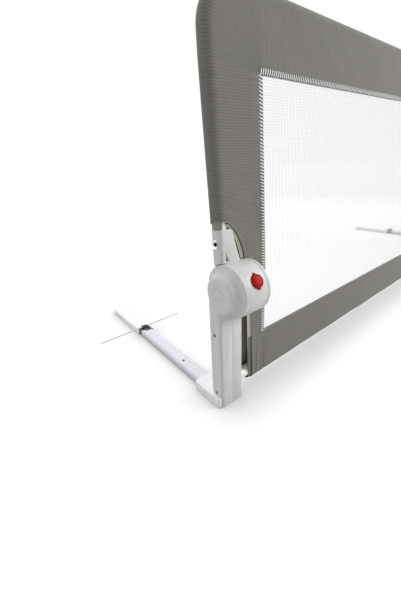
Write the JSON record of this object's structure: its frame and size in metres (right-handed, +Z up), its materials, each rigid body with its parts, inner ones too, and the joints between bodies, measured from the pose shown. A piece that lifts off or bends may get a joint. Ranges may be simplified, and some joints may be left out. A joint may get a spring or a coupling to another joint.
{
  "type": "folding bed guard rail",
  "caption": "Bed guard rail: netted cloth panel on a tube frame that folds down on two round hinge drums, with base arms that lie under the mattress.",
  "frame": {"origin": "middle of the footprint, on the surface that the base arms lie on", "axes": "+X along the rail, +Y from the posts along the base arms into the bed, +Z up"},
  "size_m": [1.6968, 0.533, 0.5991],
  "materials": {
    "white_plastic": "white moulded plastic with a soft sheen",
    "satin_plastic": "white moulded plastic, satin",
    "red_plastic": "red moulded plastic",
    "black_plastic": "black moulded plastic",
    "steel": "plain zinc-plated steel",
    "dark_screw": "blackened steel",
    "chrome_bolt": "bright plated",
    "enamel": "white powder coat",
    "arm_alloy": "silver-grey lacquer with a sheen",
    "cloth": "taupe-grey ribbed polyester",
    "net": "white mesh"
  },
  "bodies": {
    "base": {"left_post_outer_shell": "white_plastic", "right_post_outer_shell": "white_plastic", "left_post_inner_shell": "white_plastic", "right_post_inner_shell": "white_plastic", "left_post_core": "steel", "right_post_core": "steel", "left_hinge_plate": "steel", "right_hinge_plate": "steel", "left_lock_ring": "steel", "right_lock_ring": "steel", "left_axle_bolt": "steel", "right_axle_bolt": "steel", "left_axle_nut": "steel", "right_axle_nut": "steel", "left_axle_plug": "white_plastic", "right_axle_plug": "white_plastic", "left_shell_screw_1": "dark_screw", "right_shell_screw_1": "dark_screw", "left_shell_screw_2": "dark_screw", "right_shell_screw_2": "dark_screw", "left_foot_block": "white_plastic", "right_foot_block": "white_plastic", "left_arm_tube": "arm_alloy", "right_arm_tube": "arm_alloy", "left_arm_plug": "black_plastic", "right_arm_plug": "black_plastic", "left_arm_clamp": "black_plastic", "right_arm_clamp": "black_plastic", "left_crossbar": "steel", "right_crossbar": "steel", "left_end_foot": "satin_plastic", "right_end_foot": "satin_plastic", "left_end_foot_pin": "black_plastic", "right_end_foot_pin": "black_plastic", "left_lower_band": "cloth", "right_lower_band": "cloth", "bottom_tube": "enamel", "bottom_band": "cloth", "lower_net": "net"},
    "panel": {"left_drum_housing": "white_plastic", "right_drum_housing": "white_plastic", "left_drum_cover": "white_plastic", "right_drum_cover": "white_plastic", "left_hinge_bush": "satin_plastic", "right_hinge_bush": "satin_plastic", "left_button_spring": "steel", "right_button_spring": "steel", "left_socket_bolt": "chrome_bolt", "right_socket_bolt": "chrome_bolt", "left_corner_tube": "enamel", "right_corner_tube": "enamel", "left_upper_band": "cloth", "right_upper_band": "cloth", "top_tube": "enamel", "top_band": "cloth", "upper_net": "net"},
    "left_button": {"left_release_button": "red_plastic", "left_lock_pin": "steel"},
    "right_button": {"right_release_button": "red_plastic", "right_lock_pin": "steel"}
  },
  "joints": [
    {"name": "panel_fold", "type": "hinge", "parent": "base", "child": "panel", "pos_m": [0, -0.22153, 0.218], "axis": [1, 0, 0], "range_deg": [0, 180]},
    {"name": "left_button_press", "type": "slide", "parent": "panel", "child": "left_button", "axis": [0, 0.8625, -0.506], "range_m": [0, 0.0045], "stiffness_N_per_m": 400, "springref_m": -0.002, "deforming": ["left_button_spring"]},
    {"name": "right_button_press", "type": "slide", "parent": "panel", "child": "right_button", "axis": [0, 0.8625, -0.506], "range_m": [0, 0.0045], "stiffness_N_per_m": 400, "springref_m": -0.002, "deforming": ["right_button_spring"]}
  ]
}
